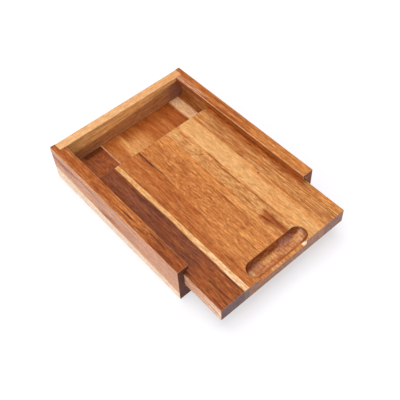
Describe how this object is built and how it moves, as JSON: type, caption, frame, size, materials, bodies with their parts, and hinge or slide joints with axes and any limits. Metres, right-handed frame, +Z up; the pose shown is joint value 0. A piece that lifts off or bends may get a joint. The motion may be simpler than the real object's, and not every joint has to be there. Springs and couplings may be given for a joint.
{
  "type": "sliding cutting board",
  "caption": "Thick acacia cutting board with a routed finger recess that slides like a drawer in an open-fronted wooden frame",
  "frame": {"origin": "centre of the frame's footprint on the table, which leaves out the part of the board that is drawn out", "axes": "+X to the right, +Y from the open front towards the back rail, +Z up; the board slides along Y"},
  "size_m": [0.24, 0.3475, 0.065],
  "materials": {
    "rail_wood": "satin",
    "back_wood": "satin",
    "walnut_brown_wood": "satin",
    "orange_wood": "satin",
    "brown_wood": "satin",
    "sapwood": "satin",
    "dowel_wood": "matte"
  },
  "bodies": {
    "frame": {"left_rail": "rail_wood", "right_rail": "rail_wood", "back_rail": "back_wood", "floor_stave_1": "walnut_brown_wood", "floor_stave_2": "orange_wood", "floor_stave_3": "orange_wood", "floor_stave_4": "brown_wood", "back_dowels": "dowel_wood"},
    "board": {"board_stave_1": "walnut_brown_wood", "board_stave_2": "orange_wood", "board_stave_3": "sapwood", "board_stave_4": "brown_wood"}
  },
  "joints": [
    {"name": "board_slide", "type": "slide", "parent": "frame", "child": "board", "axis": [0, -1, 0], "range_m": [-0.0675, 0.19]}
  ]
}
